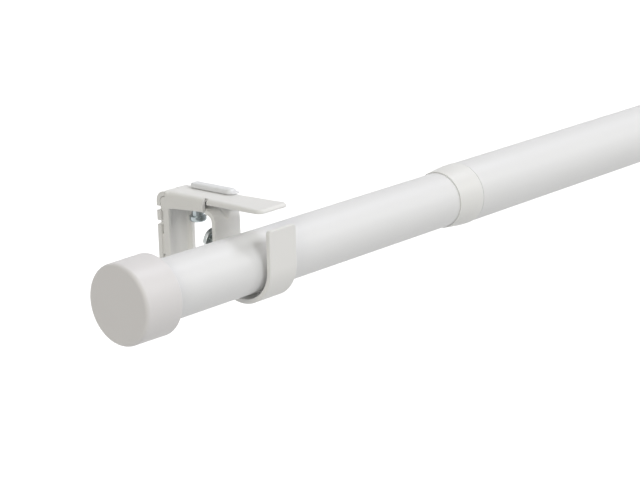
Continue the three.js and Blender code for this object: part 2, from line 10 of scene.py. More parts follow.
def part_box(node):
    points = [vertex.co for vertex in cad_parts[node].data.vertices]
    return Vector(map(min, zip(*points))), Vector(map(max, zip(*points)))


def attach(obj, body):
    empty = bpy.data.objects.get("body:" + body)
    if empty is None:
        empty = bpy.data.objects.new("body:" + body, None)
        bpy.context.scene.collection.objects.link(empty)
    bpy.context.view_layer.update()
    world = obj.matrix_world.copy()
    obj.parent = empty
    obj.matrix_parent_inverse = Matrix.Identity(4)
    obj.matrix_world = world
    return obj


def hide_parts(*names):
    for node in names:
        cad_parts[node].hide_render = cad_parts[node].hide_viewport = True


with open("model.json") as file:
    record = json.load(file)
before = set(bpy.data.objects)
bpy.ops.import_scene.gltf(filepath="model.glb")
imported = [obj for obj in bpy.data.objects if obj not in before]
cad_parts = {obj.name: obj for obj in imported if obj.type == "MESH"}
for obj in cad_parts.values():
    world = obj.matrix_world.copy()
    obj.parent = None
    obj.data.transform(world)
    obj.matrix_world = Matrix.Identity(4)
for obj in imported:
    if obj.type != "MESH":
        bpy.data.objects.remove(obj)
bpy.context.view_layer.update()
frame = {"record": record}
record = frame["record"]

mm = 0.001          # every shape below is worked out in millimetres

bodyOfNode = {node: body for body, nodes in record["behaviour"]["bodies"].items() for node in nodes}


# The lowest corner, the highest corner and the middle of a node, in millimetres.
def span(node):
    low, high = (np.array(corner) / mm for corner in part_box(node))
    return low, high, (low + high) / 2


# A round node along the rod: where it starts and ends, its radius and its centre line.
def barrel(node):
    low, high, middle = span(node)
    return low[0], high[0], (high[2] - low[2]) / 2, (0, *middle[1:])


def addObject(name, data):
    made = bpy.data.objects.new(name, data)
    bpy.context.scene.collection.objects.link(made)
    return made


viewpoint = {
    "target": (40.8, -48.5, 4.6),    # on the rod's axis, beside the left hook
    "distance": 861.0,
    "heading": 41.815,               # from +X towards the wall
    "down": 15.552,
    "roll": -1.639,
    "lens": 113.77,
    "sensor": 36.0,
    "clip": (0.01, 50),              # in metres
}


def placeCamera(v):
    heading, down, roll = (math.radians(v[k]) for k in ("heading", "down", "roll"))
    level = math.cos(down)
    ahead = Vector((level * math.cos(heading), level * math.sin(heading), -math.sin(down)))
    across = ahead.cross(Vector((0, 0, 1))).normalized()
    right = across * math.cos(roll) + across.cross(ahead) * math.sin(roll)
    camera = addObject("camera", bpy.data.cameras.new("camera"))
    camera.data.lens, camera.data.sensor_width = v["lens"], v["sensor"]
    camera.data.clip_start, camera.data.clip_end = v["clip"]
    turn = Matrix((right, right.cross(ahead), -ahead)).transposed().to_4x4()
    place = Vector(v["target"]) * mm - ahead * v["distance"] * mm
    camera.matrix_world = Matrix.Translation(place) @ turn
    bpy.context.scene.camera = camera


placeCamera(viewpoint)
print("camera placed")


# Quads between the neighbours of a grid with that many rows and columns. The last column joins
# the first, and so do the rows where they are wrapped.
def gridFaces(rows, columns, wrapRows=False):
    r, c = np.meshgrid(np.arange(rows if wrapRows else rows - 1), np.arange(columns), indexing="ij")
    nextR, nextC = (r + 1) % rows, (c + 1) % columns
    corners = [r * columns + c, r * columns + nextC, nextR * columns + nextC, nextR * columns + c]
    return np.stack(corners, -1).reshape(-1, 4)


meshing = {
    "merge": 1e-6,          # points nearer than this are one, in metres
    "degenerate": 1e-7,     # an edge shorter than this is dissolved, in metres
    "seamRounds": 8,
    "crease": 32,           # an edge is hard where its faces meet at more than this, in degrees
}


# One closed mesh from points in millimetres.
def makeMesh(name, points, faces):
    mesh = bpy.data.meshes.new(name)
    mesh.from_pydata((np.reshape(points, (-1, 3)) * mm).tolist(), [], faces)
    cleanMesh(mesh)
    return addObject(name, mesh)


# A Boolean can leave a vertex in the middle of another face's edge. Splitting the edge there
# joins the two sides.
def closeSeams(work):
    for _ in range(meshing["seamRounds"]):
        split = []
        work.verts.index_update()
        rims = [edge for edge in work.edges if len(edge.link_faces) == 1]
        corners = sorted({vertex for edge in rims for vertex in edge.verts}, key=lambda v: v.index)
        for edge in rims:
            start, along = edge.verts[0], edge.verts[1].co - edge.verts[0].co
            for vertex in corners:
                share = (vertex.co - start.co).dot(along) / along.length_squared
                gap = (start.co + along * share - vertex.co).length
                if vertex not in edge.verts and 0 < share < 1 and gap < meshing["merge"]:
                    split.append((edge, start, share))
                    break
        for edge, start, share in split:
            bmesh.utils.edge_split(edge, start, share)
        if not split:
            return
        bmesh.ops.remove_doubles(work, verts=work.verts, dist=meshing["merge"])


# Doubled points are merged, seams closed, slivers taken out and faces turned outwards.
def cleanMesh(mesh):
    work = bmesh.new()
    work.from_mesh(mesh)
    bmesh.ops.remove_doubles(work, verts=work.verts, dist=meshing["merge"])
    closeSeams(work)
    bmesh.ops.dissolve_degenerate(work, dist=meshing["degenerate"], edges=work.edges)
    loose = [edge for edge in work.edges if not edge.link_faces]
    bmesh.ops.delete(work, geom=loose, context="EDGES")
    bmesh.ops.recalc_face_normals(work, faces=work.faces)
    work.to_mesh(mesh)
    work.free()
    mesh.shade_smooth()
    mesh.set_sharp_from_angle(angle=math.radians(meshing["crease"]))


# A grid whose rows are closed loops; the first and last loops are filled in. In a paired loop
# column k faces column count - 1 - k across the sheet, and quads join the two sides.
def loopedMesh(name, points, paired=False):
    rows, columns = points.shape[:2]
    last = (rows - 1) * columns
    ends = [list(range(columns)), list(range(last, last + columns))]
    if paired:
        k = np.arange(columns // 2 - 1)
        quads = np.stack([k, k + 1, columns - 2 - k, columns - 1 - k], 1)
        ends = quads.tolist() + (quads + last).tolist()
    return makeMesh(name, points, gridFaces(rows, columns).tolist() + ends)


def unit(v):
    return v / np.maximum(np.linalg.norm(v, axis=-1, keepdims=True), 1e-12)


# The length along a line up to each of its points.
def lengthAlong(line):
    return np.r_[0, np.cumsum(np.linalg.norm(np.diff(line, axis=0), axis=1))]


def quarterTurn(count):
    return np.linspace(0, np.pi / 2, count)


# Shares from 0 to 1 that crowd together at 0: 1 - cos a, for a over a quarter turn.
def crowded(count):
    return 1 - np.cos(quarterTurn(count))


# What a rounded rim has lost at a distance in from its edge: r - sqrt(r^2 - (r - distance)^2).
def rimLoss(distance, radius):
    left = np.clip(radius - distance, 0, None)
    return radius - np.sqrt(np.clip(radius ** 2 - left ** 2, 0, None))


# A smooth step from 0 to 1: v^2 * (3 - 2v).
def ease(v):
    v = np.clip(v, 0, 1)
    return v ** 2 * (3 - 2 * v)


# The values in order, without those that follow the one before at less than the gap.
def spaced(values, gap):
    values = np.unique(np.round(values, 4))
    return values[np.r_[True, np.diff(values) > gap]]


# Corners [a, b] give way to arcs. An arc's centre lies on the corner's bisector, at
# radius / sin(half the corner's angle), and its ends lie at radius / tan(half) along the sides.
def fillet(corners, radii, steps, closed=True):
    p = np.asarray(corners, float)
    r = np.array(np.broadcast_to(radii, len(p)), float)
    if not closed:
        r[[0, -1]] = 0
    back, ahead = unit(np.roll(p, 1, 0) - p), unit(np.roll(p, -1, 0) - p)
    half = np.clip(np.arccos(np.clip((back * ahead).sum(1), -1, 1)) / 2, 1e-3, None)
    middle = p + unit(back + ahead) * (r / np.sin(half))[:, None]
    start = p + back * (r / np.tan(half))[:, None] - middle
    end = p + ahead * (r / np.tan(half))[:, None] - middle
    turn = np.arctan2(start[:, 0] * end[:, 1] - start[:, 1] * end[:, 0], (start * end).sum(1))
    angle = np.arctan2(start[:, 1], start[:, 0])[:, None] + turn[:, None] * np.linspace(0, 1, steps + 1)
    arc = middle[:, None] + r[:, None, None] * np.stack([np.cos(angle), np.sin(angle)], -1)
    points = arc.reshape(-1, 2)
    keep = np.linalg.norm(points - np.roll(points, 1, 0), axis=1) > 1e-5
    if not closed:
        keep[0] = True
    return points[keep]


# The same line with no step much longer than the spacing: points are added at even shares of it.
def refine(points, spacing):
    length = lengthAlong(points)
    even = np.linspace(0, length[-1], max(2, int(length[-1] / spacing)))
    near = np.abs(even[:, None] - length[None]).min(1) < spacing * 0.3
    at = np.sort(np.r_[length, even[~near]])
    return np.stack([np.interp(at, length, points[:, k]) for k in (0, 1)], 1)


def alongAxis(axis, along, a, b):
    return np.stack({"x": (along, a, b), "y": (a, along, b), "z": (a, b, along)}[axis], -1)


# A profile of [place, radius] goes round an axis: each point becomes
# centre + place along the axis + radius * (cos angle, sin angle) across it.
def spin(profile, centre, axis, steps, name="tool", closed=True, ripple=None):
    angle = np.linspace(0, 2 * np.pi, steps, endpoint=False) if np.isscalar(steps) else steps
    place = np.repeat(profile[:, :1], len(angle), 1)
    radius = np.repeat(profile[:, 1:2], len(angle), 1)
    if ripple:
        radius = radius + ripple(place, radius, angle[None])
    points = alongAxis(axis, place, radius * np.cos(angle), radius * np.sin(angle)) + np.asarray(centre)
    return makeMesh(name, points, gridFaces(len(profile), len(angle), wrapRows=closed).tolist())


# Levels of a solid with rounded rims: the outline draws in by edge * (1 - sin a) while the
# height climbs by edge * (1 - cos a), at both ends.
def softLevels(low, high, edge, topEdge=None, steps=5):
    def rim(e):
        a = quarterTurn(steps + 1)
        return np.stack([e * (1 - np.cos(a)), e * (np.sin(a) - 1)], 1)
    bottom, top = rim(edge), rim(edge if topEdge is None else topEdge)[::-1]
    return np.concatenate([bottom + [low, 0], top * [-1, 1] + [high, 0]])


# Levels of a cutter that rounds the rims of the hole it leaves between two faces: it widens by
# edge * (1 - cos a) at a depth of edge * (1 - sin a) below each face.
def flaredLevels(low, high, edge, beyond=1.5, steps=5):
    a = np.radians(np.linspace(80, 0, steps + 1))
    flare = np.stack([edge * (1 - np.sin(a)), edge * (1 - np.cos(a))], 1)
    bottom = np.concatenate([[[-beyond, edge]], flare])
    return np.concatenate([bottom + [low, 0], bottom[::-1] * [-1, 1] + [high, 0]])


# A closed outline carried along an axis. At each level [height, outset] the outline moves
# along its own outward normals by the outset.
def slab(outline, levels, axis, centre, name="tool"):
    outline, levels = np.asarray(outline, float), np.asarray(levels, float)
    turned = np.roll(outline, -1, 0)
    along = unit(turned - np.roll(outline, 1, 0))
    area = (outline[:, 0] * turned[:, 1] - outline[:, 1] * turned[:, 0]).sum()
    normal = np.stack([along[:, 1], -along[:, 0]], 1) * np.sign(area)
    ring = outline[None] + normal[None] * levels[:, 1, None, None]
    height = np.broadcast_to(levels[:, :1], ring.shape[:2])
    return loopedMesh(name, alongAxis(axis, height, ring[..., 0], ring[..., 1]) + np.asarray(centre))


def rectangle(a0, b0, a1, b1, radii, steps):
    return fillet([[a0, b0], [a1, b0], [a1, b1], [a0, b1]], radii, steps)


def circle(radius, up=0, steps=48):
    angle = np.linspace(0, 2 * np.pi, steps, endpoint=False)
    return np.stack([radius * np.cos(angle), up + radius * np.sin(angle)], 1)


# Joins solids to a piece, then cuts solids out of it, and keeps the result as its mesh.
def carve(piece, joins=(), cuts=()):
    for others, operation in ((joins, "UNION"), (cuts, "DIFFERENCE")):
        for other in others:
            change = piece.modifiers.new(operation, "BOOLEAN")
            change.operation = operation
            change.solver = "EXACT"
            change.object = other
    graph = bpy.context.evaluated_depsgraph_get()
    carved = bpy.data.meshes.new_from_object(piece.evaluated_get(graph))
    piece.modifiers.clear()
    piece.data = carved
    carved.name = piece.name
    cleanMesh(carved)
    for other in (*joins, *cuts):
        bpy.data.objects.remove(other)
    return piece


# A socket takes a value, or is linked from another node's output.
def feed(tree, socket, value):
    if isinstance(value, bpy.types.NodeSocket):
        tree.links.new(value, socket)
    else:
        socket.default_value = value


# Each setting is an option of the node or, with _ for a space, one of its inputs.
def setUp(tree, node, **settings):
    for key, value in settings.items():
        if hasattr(node, key):
            setattr(node, key, value)
        else:
            feed(tree, node.inputs[key.replace("_", " ")], value)
    return node


def addNode(tree, kind, **settings):
    return setUp(tree, tree.nodes.new("ShaderNode" + kind), **settings)


def maths(tree, operation, *values):
    node = addNode(tree, "Math", operation=operation)
    for socket, value in zip(node.inputs, values):
        feed(tree, socket, value)
    return node.outputs[0]


def mixColors(tree, share, first, second):
    mix = addNode(tree, "Mix", data_type="RGBA")
    for k, value in ((0, share), (6, first), (7, second)):      # its factor and two colour inputs
        feed(tree, mix.inputs[k], value)
    return mix.outputs[2]                                       # its colour output


# A shader group. An input with nothing given is a vector, a number a float, a tuple a colour.
def nodeGroup(name, inputs, outputs):
    tree = bpy.data.node_groups.new(name, "ShaderNodeTree")
    kinds = {type(None): "Vector", float: "Float", tuple: "Color"}
    for socket, value in inputs.items():
        kind = "NodeSocket" + kinds[type(value)]
        made = tree.interface.new_socket(socket, in_out="INPUT", socket_type=kind)
        if value is not None:
            made.default_value = value
    for socket, kind in outputs.items():
        tree.interface.new_socket(socket, in_out="OUTPUT", socket_type="NodeSocket" + kind)
    return tree, tree.nodes.new("NodeGroupInput").outputs, tree.nodes.new("NodeGroupOutput").inputs


# Orange peel of a cured coat: two noises, one coarse and one fine, added as height.
def makeCoatGrain():
    tree, start, end = nodeGroup(
        "coatGrain", {"Place": None, "Peel size": 900.0, "Grit size": 4200.0, "Grit share": 0.35},
        {"Height": "Float"})
    peel, grit = (
        addNode(tree, "TexNoise", Vector=start["Place"], Scale=start[size], Detail=detail)
        for size, detail in (("Peel size", 2.0), ("Grit size", 1.0)))
    fine = maths(tree, "MULTIPLY", grit.outputs[0], start["Grit share"])
    feed(tree, end["Height"], maths(tree, "ADD", peel.outputs[0], fine))
    return tree


wear = {
    "cloud": 28.0, "speck": 760.0,      # scales of the noise, per metre
    "up": (0.3, 1.0),                   # how far a face looks up before dust stays on it
    "gathers": (0.58, 0.78),            # the part of the noise where specks show
}


# Slow change of tone and gloss over a surface, and specks of dust that settle on faces that
# look up: both are mixed into the base colour.
def makeToneDrift():
    tree, start, end = nodeGroup(
        "toneDrift",
        {"Place": None, "Color": (0.8, 0.8, 0.8, 1), "Shade": (0.7, 0.7, 0.7, 1), "Drift": 0.3,
         "Dust": 0.1, "Roughness": 0.45, "Gloss drift": 0.06},
        {"Color": "Color", "Roughness": "Float"})
    noise = lambda scale, detail: addNode(
        tree, "TexNoise", Vector=start["Place"], Scale=scale, Detail=detail).outputs[0]
    cloud, speck = noise(wear["cloud"], 3.0), noise(wear["speck"], 4.0)
    normal = addNode(tree, "NewGeometry").outputs["Normal"]
    facing = addNode(tree, "SeparateXYZ", Vector=normal).outputs["Z"]
    up, specks = (
        addNode(tree, "MapRange", Value=value, From_Min=low, From_Max=high).outputs[0]
        for value, (low, high) in ((facing, wear["up"]), (speck, wear["gathers"])))
    dust = maths(tree, "MULTIPLY", maths(tree, "MULTIPLY", up, specks), start["Dust"])
    share = maths(tree, "ADD", maths(tree, "MULTIPLY", cloud, start["Drift"]), dust)
    feed(tree, end["Color"], mixColors(tree, share, start["Color"], start["Shade"]))
    swing = maths(tree, "MULTIPLY", maths(tree, "SUBTRACT", cloud, 0.5), start["Gloss drift"])
    feed(tree, end["Roughness"], maths(tree, "ADD", start["Roughness"], swing))
    return tree


# Rings left by turning: noise along the distance from the axis and along the axis.
def makeTurnedRings():
    tree, start, end = nodeGroup(
        "turnedRings", {"Place": None, "Fineness": 5200.0}, {"Height": "Float", "Tone": "Float"})
    x, y, z = addNode(tree, "SeparateXYZ", Vector=start["Place"]).outputs
    square = maths(tree, "ADD", maths(tree, "POWER", x, 2.0), maths(tree, "POWER", y, 2.0))
    ring = maths(tree, "ADD", maths(tree, "SQRT", square), z)
    wave = maths(tree, "MULTIPLY", ring, start["Fineness"])
    turned = addNode(tree, "TexNoise", noise_dimensions="1D", Scale=1.0, Detail=2.0, W=wave)
    broad = addNode(tree, "TexNoise", Vector=start["Place"], Scale=420.0, Detail=2.0)
    feed(tree, end["Height"], turned.outputs[0])
    feed(tree, end["Tone"], broad.outputs[0])
    return tree


coatGrain, toneDrift, turnedRings = makeCoatGrain(), makeToneDrift(), makeTurnedRings()

coat = {
    "color": (0.852, 0.855, 0.862), "shade": (0.795, 0.795, 0.797), "drift": 0.22, "dust": 0.10,
    "roughness": 0.46, "glossDrift": 0.08, "peel": 1050.0, "grit": 4600.0, "gritShare": 0.35,
    "bump": 0.22, "depth": 0.00003, "specular": 0.42,
}
sheetFinish = dict(coat, color=(0.874, 0.870, 0.857), shade=(0.813, 0.806, 0.787))
capFinish = {
    "color": (0.795, 0.778, 0.781), "shade": (0.733, 0.716, 0.713), "drift": 0.25, "dust": 0.12,
    "roughness": 0.44, "glossDrift": 0.07, "peel": 2300.0, "grit": 6800.0, "gritShare": 0.55,
    "bump": 0.22, "depth": 0.00002, "specular": 0.4,
}
collarFinish = dict(capFinish, color=(0.862, 0.862, 0.850), shade=(0.80, 0.799, 0.784))
clipFinish = dict(
    capFinish, color=(0.84, 0.85, 0.87), shade=(0.77, 0.78, 0.80), roughness=0.32, bump=0.12,
    drift=0.2, specular=0.5)


def newMaterial(name):
    material = bpy.data.materials.new(name)
    material.use_nodes = True
    return material, material.node_tree, material.node_tree.nodes["Principled BSDF"]


def makeFinish(name, look):
    material, tree, shader = newMaterial(name)
    place = addNode(tree, "TexCoord").outputs["Object"]
    drift = addNode(
        tree, "Group", node_tree=toneDrift, Place=place, Color=(*look["color"], 1),
        Shade=(*look["shade"], 1), Drift=look["drift"], Dust=look["dust"], Roughness=look["roughness"],
        Gloss_drift=look["glossDrift"]).outputs
    grain = addNode(
        tree, "Group", node_tree=coatGrain, Place=place, Peel_size=look["peel"],
        Grit_size=look["grit"], Grit_share=look["gritShare"]).outputs
    bump = addNode(
        tree, "Bump", Strength=look["bump"], Distance=look["depth"], Height=grain["Height"])
    setUp(tree, shader, Base_Color=drift["Color"], Roughness=drift["Roughness"],
          Normal=bump.outputs["Normal"], Specular_IOR_Level=look["specular"])
    return material


zinc = {
    "color": (0.60, 0.625, 0.62), "shade": (0.36, 0.39, 0.395), "roughness": 0.20,
    "roughnessSpread": 0.14, "fineness": 5200.0, "bump": 0.35, "depth": 0.00002,
}
# The clamp screw's zinc is a darker copy of the same zinc. Its darker colour and shade are painted shade,
# standing in for dark reflections on the screw head. Its lower roughness is real gloss.
clampZincPaintedShade = dict(zinc, color=(0.52, 0.575, 0.59), shade=(0.27, 0.31, 0.325), roughness=0.16)


# The rings run round the piece's own axis: Mapping brings that axis to the origin, along Z.
def makeZinc(name, centre, axis, look=zinc):
    material, tree, shader = newMaterial(name)
    tilt = math.pi / 2 if axis == "y" else 0
    place = addNode(
        tree, "Mapping", vector_type="POINT", Rotation=(tilt, 0, 0),
        Location=-(Matrix.Rotation(tilt, 3, "X") @ Vector(centre)) * mm,
        Vector=addNode(tree, "TexCoord").outputs["Object"])
    rings = addNode(
        tree, "Group", node_tree=turnedRings, Fineness=look["fineness"],
        Place=place.outputs[0]).outputs
    color = mixColors(tree, rings["Tone"], (*look["color"], 1), (*look["shade"], 1))
    spread = maths(tree, "MULTIPLY", rings["Tone"], look["roughnessSpread"])
    rough = maths(tree, "ADD", spread, look["roughness"])
    bump = addNode(
        tree, "Bump", Strength=look["bump"], Distance=look["depth"], Height=rings["Height"])
    setUp(tree, shader, Base_Color=color, Roughness=rough, Normal=bump.outputs["Normal"], Metallic=1.0)
    return material


coatedSteel = makeFinish("coatedSteel", coat)
coatedSheet = makeFinish("coatedSheet", sheetFinish)
capPlastic = makeFinish("capPlastic", capFinish)
collarPlastic = makeFinish("collarPlastic", collarFinish)
clipPlastic = makeFinish("clipPlastic", clipFinish)
print("finishes made")


# A finished piece takes its material and stands for its node on the node's own body.
def settle(piece, node, material):
    piece.data.materials.clear()
    piece.data.materials.append(material)
    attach(piece, bodyOfNode[node])
    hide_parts(node)


tube = {"thinWall": 0.8, "thickWall": 0.7, "rim": 0.2, "steps": 160, "rings": 40}


def makeTube(node, wall):
    start, end, radius, centre = barrel(node)
    corners = [[start, radius - wall], [start, radius], [end, radius], [end, radius - wall]]
    profile = fillet(corners, tube["rim"], 4)
    rings = np.linspace(start, end, tube["rings"])[1:-1]
    outside = np.argmax(np.diff(profile[:, 0]))          # the long step along the outer face
    added = np.stack([rings, np.full(len(rings), radius)], 1)
    profile = np.insert(profile, outside + 1, added, 0)
    settle(spin(profile, centre, "x", tube["steps"], node + ".shell"), node, coatedSteel)


makeTube("thin_tube", tube["thinWall"])
makeTube("thick_tube", tube["thickWall"])
print("tubes made")

collar = {
    "length": 15.5, "noseWall": 0.5, "noseEdge": 0.16, "lead": 0.45, "brim": 1.2, "flat": 1.0,
    "slack": 0.02, "fit": 0.1, "edge": 0.42, "stepEdge": 0.05, "spigotEdge": 0.3, "boreEdge": 0.15,
    "rings": 26,
}


# The nose swells to the rim as a quarter sine wave of the way along it.
def makeCollar():
    start, finish, rim, centre = barrel("collar")
    thinRadius, thickRadius = barrel("thin_tube")[2], barrel("thick_tube")[2]
    bore, spigot = thinRadius + collar["fit"], thickRadius - tube["thickWall"] - collar["fit"]
    end, lead, nose = start + collar["length"], collar["lead"], bore + collar["noseWall"]
    t = np.linspace(0, 1, collar["rings"])
    along = start + lead + (collar["length"] - collar["brim"] - lead) * t
    swell = np.stack([along, nose + (rim - nose) * np.sin(t * np.pi / 2)], 1)
    slack = collar["slack"]
    lip = fillet([[start, bore + slack], [start, nose - slack], [start + lead, nose]],
                 [0, collar["noseEdge"], 0], 5, closed=False)
    edges = [0, *(collar[name] for name in ("edge", "stepEdge", "spigotEdge", "boreEdge")), 0]
    tail = fillet([[end - collar["flat"], rim], [end, rim], [end, spigot], [finish, spigot],
                   [finish, bore], [start, bore]], edges, 5, closed=False)
    profile = np.concatenate([lip[:-1], swell, tail])
    sleeve = spin(profile, centre, "x", tube["steps"], "collar.sleeve")
    settle(sleeve, "collar", collarPlastic)


makeCollar()

plug = {"flange": 6.0, "wall": 1.4, "fit": 0.1, "edge": 0.3}


def makeGlidePlug():
    start, end, flange, centre = barrel("glide_plug")
    spigot = barrel("thin_tube")[2] - tube["thinWall"] - plug["fit"]
    bore, shoulder = spigot - plug["wall"], end - plug["flange"]
    profile = fillet([[start, bore], [start, spigot], [shoulder, spigot], [shoulder, flange],
                      [end, flange], [end, bore]], plug["edge"], 5)
    body = spin(profile, centre, "x", tube["steps"], "glidePlug.body")
    settle(body, "glide_plug", collarPlastic)


makeGlidePlug()
print("collar and glide plug made")

cap = {
    "wall": 1.8, "face": 2.5, "edge": 1.7, "rim": 0.45, "taper": 0.2, "bottom": 0.4, "root": 0.3,
    "spigotLength": 16.0, "spigotWall": 1.4, "spigotEdge": 0.5, "spacing": 1.6, "steps": 156,
    "ribs": 6, "ribHalf": 0.75, "ribSlope": 0.35, "ribEnd": 1.0, "near": 0.4, "fit": 0.1,
}


# A cup with a hollow spigot in it. Its ribs are a ripple on the cup's bore: at each rib's angle
# the bore's radius drops to the tube's, for as far as the rib runs.
def makeCap(node, tubeNode, wall, sign):
    start, end, radius, centre = barrel(node)
    origin, length, tubeRadius = start if sign > 0 else end, end - start, barrel(tubeNode)[2]
    bore, spigot = radius - cap["wall"], tubeRadius - wall - cap["fit"]
    face, spigotEnd, hollow = cap["face"], cap["face"] + cap["spigotLength"], spigot - cap["spigotWall"]
    corners = [[0.0, 0], [0, radius - cap["taper"]], [length, radius], [length, bore], [face, bore],
               [face, spigot], [spigotEnd, spigot], [spigotEnd, hollow], [face, hollow], [face, 0]]
    rounded = ("edge", "rim", "rim", "bottom", "root", "spigotEdge", "root", "bottom")
    edges = [0, *(cap[name] for name in rounded), 0]
    profile = refine(fillet(corners, edges, 10, closed=False), cap["spacing"])
    profile[:, 0] = origin + sign * profile[:, 0]
    ribTop = tubeRadius + cap["fit"]
    ribAngle, ribFoot = 2 * np.pi / cap["ribs"], cap["ribHalf"] + cap["ribSlope"]

    def ribs(place, size, angle):
        depth = sign * (place - origin)
        off = np.abs((angle + ribAngle / 2) % ribAngle - ribAngle / 2) * bore
        rise = np.clip((ribFoot - off) / cap["ribSlope"], 0, 1)
        run = np.clip((length - cap["wall"] - depth) / cap["ribEnd"], 0, 1)
        run = run * np.clip((depth - face) / cap["near"], 0, 1)
        onBore = np.clip(1 - np.abs(size - bore) / cap["near"], 0, 1)
        return (ribTop - bore) * rise * run * onBore

    even = np.linspace(0, 2 * np.pi, cap["steps"], endpoint=False)
    nearRib = np.linspace(-1, 1, 9) * ribFoot / bore
    nearRibs = (np.arange(cap["ribs"])[:, None] * ribAngle + nearRib).ravel() % (2 * np.pi)
    angles = spaced(np.concatenate([even, nearRibs]), 0.004)
    name = node.replace("_", "") + ".cup"
    settle(spin(profile, centre, "x", angles, name, closed=False, ripple=ribs), node, capPlastic)


makeCap("left_cap", "thin_tube", tube["thinWall"], 1)
makeCap("right_cap", "thick_tube", tube["thickWall"], -1)
print("caps made")


# A flat strip bent along a path (y, z). A point of the blank at [x, length], t above its middle,
# goes to path(length) + normal(length) * t. Its sides are rounded: the half width gives way by
# edge * (1 - sin a) where half the thickness gives way by edge * (1 - cos a). At the ends half
# the thickness gives way as rimLoss says.
def bentStrip(name, path, halfWidth, thickness, edge, rows, x0, columns, press=None):
    length = lengthAlong(path)
    tangent = unit(np.gradient(path, length, axis=0))
    normal = np.stack([-tangent[:, 1], tangent[:, 0]], 1)
    soft = edge * crowded(6)
    rows = spaced(np.concatenate([rows, length, soft, length[-1] - soft]), 0.015)
    rows[-1] = length[-1]
    half = thickness / 2
    thin = half - rimLoss(np.minimum(rows, length[-1] - rows), edge)
    a = quarterTurn(5)
    inset, lift = edge * (1 - np.sin(a)), half - edge * (1 - np.cos(a))
    inset, lift = np.concatenate([inset, inset[::-1]]), np.concatenate([lift, -lift[::-1]]) / half
    u = columns[1:-1]
    wide = halfWidth(rows)[:, None]
    x = np.concatenate([u * (wide - edge), wide - inset, -u * (wide - edge), inset[::-1] - wide], 1)
    flat = np.ones((len(rows), len(u)))
    side = np.broadcast_to(lift, (len(rows), len(lift)))
    t = np.concatenate([flat, side, -flat, side[:, ::-1]], 1) * thin[:, None]
    x, t = np.roll(x, len(a), 1), np.roll(t, len(a), 1)
    if press:
        t = t + press(x, rows[:, None])
    y, z, ny, nz = (np.interp(rows, length, v)[:, None] for v in (*path.T, *normal.T))
    return loopedMesh(name, np.stack([x + x0, y + ny * t, z + nz * t], -1), paired=True)


sheet = {
    "plate": 2.1, "frame": 1.7, "strap": 2.0, "edge": 0.35, "clearance": 0.3, "holeRim": 0.3,
    "channelHalf": 7.7, "holeRadius": 2.3, "holePitch": 12.0, "holeDrop": 7.0, "slotFoot": 1.5,
}
clear = {"past": 3.0, "side": 4.0, "far": 9.0, "hair": 0.01}    # how far cutters run on in the open


# The hole of the first or second wall screw down the leg.
def screwHole(k, radius, steps=48):
    return circle(radius, -sheet["holeDrop"] - k * sheet["holePitch"], steps)


wallPlate = {
    "lipRadius": 4.5, "lipRun": 0.5, "lipSide": -0.2, "cornerRadius": 2.2, "corner": 0.4,
    "notchDepth": 2.2, "notchHeight": 1.4, "notchSlope": 0.5, "notchCorner": 0.3, "upperNotch": 21.0,
    "block": 4.4, "tabHeight": 8.9, "tab": 1.0, "tabReach": 1.7, "tabInset": 0.8, "tabEdge": 0.25,
    "fine": 0.2,
}


def makeWallPlate(side):
    node = side + "_wall_plate"
    low, high, middle = span(node)
    w, thick, half = wallPlate, sheet["plate"], sheet["channelHalf"]
    top, flatTop = high[2] - thick / 2, high[2] - w["lipRadius"]
    path = fillet([[-thick / 2, low[2]], [-thick / 2, top], [-w["lipRadius"] - w["lipRun"], top]],
                  [0, w["lipRadius"] - thick / 2, 0], 20, closed=False)
    plate = bentStrip(
        side + "WallPlate.strip", path, lambda h: np.full(len(h), half), thick, sheet["edge"],
        np.linspace(0, flatTop - low[2], 20), middle[0], np.linspace(-1, 1, 17))
    rims = flaredLevels(-thick, 0, sheet["holeRim"])
    joins, cuts = [], []
    tool = lambda outline, levels: slab(outline, levels, "y", (middle[0], 0, 0))
    for sign in (-1, 1):
        inside, outside = sign * (half - w["notchDepth"]), sign * (half + w["notchDepth"])
        for foot, rise in ((w["upperNotch"], 1), (w["upperNotch"] - w["block"], -1)):
            rim = foot + rise * w["notchHeight"]
            sloped = rim + rise * 2 * w["notchSlope"]
            notch = [[inside, foot], [outside, foot], [outside, sloped], [inside, rim]]
            edges = [w["notchCorner"], w["fine"], w["fine"], w["notchCorner"]]
            cuts.append(tool(fillet(notch, edges, 4), rims))
        outer = sign * (half - w["tabInset"])
        inner = outer - sign * w["tab"]
        foot = sheet["slotFoot"] + sheet["clearance"]
        tab = rectangle(min(inner, outer), foot, max(inner, outer), foot + w["tabHeight"], w["fine"], 3)
        joins.append(tool(tab, softLevels(-thick - w["tabReach"], -thick / 2, w["tabEdge"])))
    edge, foot, above = half + clear["hair"], flatTop - clear["side"], flatTop + clear["far"]
    offLip = [[w["lipSide"], above], [w["lipSide"], flatTop], [edge, flatTop], [edge, foot],
              [edge + clear["side"], foot], [edge + clear["side"], above]]
    edges = [w["fine"], w["corner"], w["cornerRadius"], w["fine"], w["fine"], w["fine"]]
    cuts.append(tool(fillet(offLip, edges, 6), [[-clear["far"], 0], [clear["past"], 0]]))
    cuts.extend(tool(screwHole(k, sheet["holeRadius"]), rims) for k in range(2))
    settle(carve(plate, joins, cuts), node, coatedSheet)


